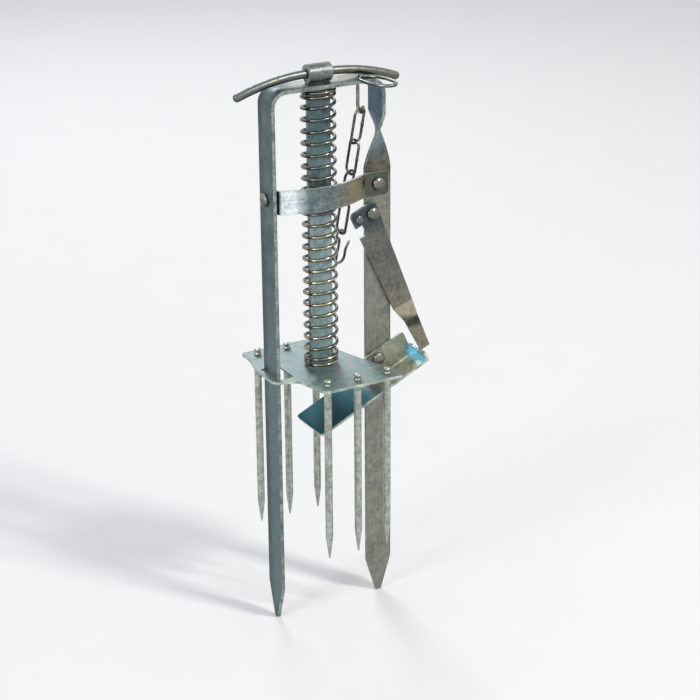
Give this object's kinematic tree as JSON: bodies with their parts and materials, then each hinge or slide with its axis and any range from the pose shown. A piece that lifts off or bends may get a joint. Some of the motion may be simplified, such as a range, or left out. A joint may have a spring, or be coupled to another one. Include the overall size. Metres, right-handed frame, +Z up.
{
  "type": "plunger mole trap",
  "caption": "Steel mole trap: strap frame on two pointed stakes, spring-driven spike plate on a T-handled plunger, see-saw trigger pan, hooked arm and safety chain.",
  "frame": {"origin": "on the plunger's axis, at the underside of the spike plate when it is down, which is the level of the ground when the trap stands in it", "axes": "+Z up along the plunger; +X along the frame's bridge, towards the trigger's side; -Y is the front, where the band bows out"},
  "size_m": [0.1433, 0.092, 0.4045],
  "materials": {
    "frame_steel": "zinc-plated, warm grey with a faint brown cast",
    "band_steel": "zinc-plated, cool grey",
    "rivet_steel": "bright plated, domed",
    "spring_steel": "bright plated wire with straw-coloured highlights",
    "bar_steel": "plated, pale cool grey",
    "handle_steel": "plated, dark grey",
    "plate_steel": "zinc-plated, grey with a faint lavender cast",
    "spike_steel": "plated rod",
    "arm_steel": "zinc-plated, warm olive grey",
    "pan_steel": "zinc-plated, dark teal grey",
    "wire_steel": "bright plated wire"
  },
  "bodies": {
    "frame": {"frame_strap": "frame_steel", "front_band": "band_steel", "band_rivet_left": "rivet_steel", "band_rivet_right": "rivet_steel", "arm_rivet": "rivet_steel", "pan_rivet": "rivet_steel", "main_spring": "spring_steel"},
    "plunger": {"plunger_bar": "bar_steel", "t_handle": "handle_steel", "spike_plate": "plate_steel", "spike_1": "spike_steel", "spike_2": "spike_steel", "spike_3": "spike_steel", "spike_4": "spike_steel", "spike_5": "spike_steel", "spike_6": "spike_steel"},
    "arm": {"trigger_arm": "arm_steel", "catch_pin": "rivet_steel"},
    "pan": {"trigger_pan": "pan_steel"},
    "hook": {"chain_hook": "wire_steel"},
    "link_1": {"chain_link_1": "wire_steel"},
    "link_2": {"chain_link_2": "wire_steel"},
    "link_3": {"chain_link_3": "wire_steel"},
    "link_4": {"chain_link_4": "wire_steel"},
    "safety": {"safety_hook": "wire_steel"}
  },
  "joints": [
    {"name": "plunger_slide", "type": "slide", "parent": "frame", "child": "plunger", "axis": [0, 0, 1], "range_m": [0, 0.086], "stiffness_N_per_m": 1200, "springref_m": -0.04, "deforming": ["main_spring"]},
    {"name": "arm_swing", "type": "hinge", "parent": "frame", "child": "arm", "pos_m": [0.0395, -0.0027, 0.1068], "axis": [0, -1, 0], "range_deg": [0, 25]},
    {"name": "pan_tilt", "type": "hinge", "parent": "frame", "child": "pan", "pos_m": [0.044, -0.0025, -0.0019], "axis": [0, 1, 0], "range_deg": [0, 18]},
    {"name": "hook_swivel", "type": "hinge", "parent": "frame", "child": "hook", "pos_m": [0.0286, -0.0031, 0.2023], "axis": [0, 0, -1], "range_deg": [0, 20]},
    {"name": "link_1_swing", "type": "hinge", "parent": "hook", "child": "link_1", "pos_m": [0.0286, -0.0066, 0.1831], "axis": [0, -1, 0], "range_deg": [0, 10]},
    {"name": "link_2_swing", "type": "hinge", "parent": "link_1", "child": "link_2", "pos_m": [0.02869, 0.00084, 0.15955], "axis": [0.9659, 0.2457, 0.0813], "range_deg": [-3, 10]},
    {"name": "link_3_swing", "type": "hinge", "parent": "link_2", "child": "link_3", "pos_m": [0.02878, 0.00828, 0.13599], "axis": [0.2588, -0.9214, -0.29], "range_deg": [0, 10]},
    {"name": "link_4_swing", "type": "hinge", "parent": "link_3", "child": "link_4", "pos_m": [0.02887, 0.01571, 0.11244], "axis": [0.9659, 0.2457, 0.0813], "range_deg": [-3, 10]},
    {"name": "safety_hook_swing", "type": "hinge", "parent": "link_4", "child": "safety", "pos_m": [0.02896, 0.02315, 0.08889], "axis": [0.2588, -0.9214, -0.29], "range_deg": [0, 10]}
  ]
}
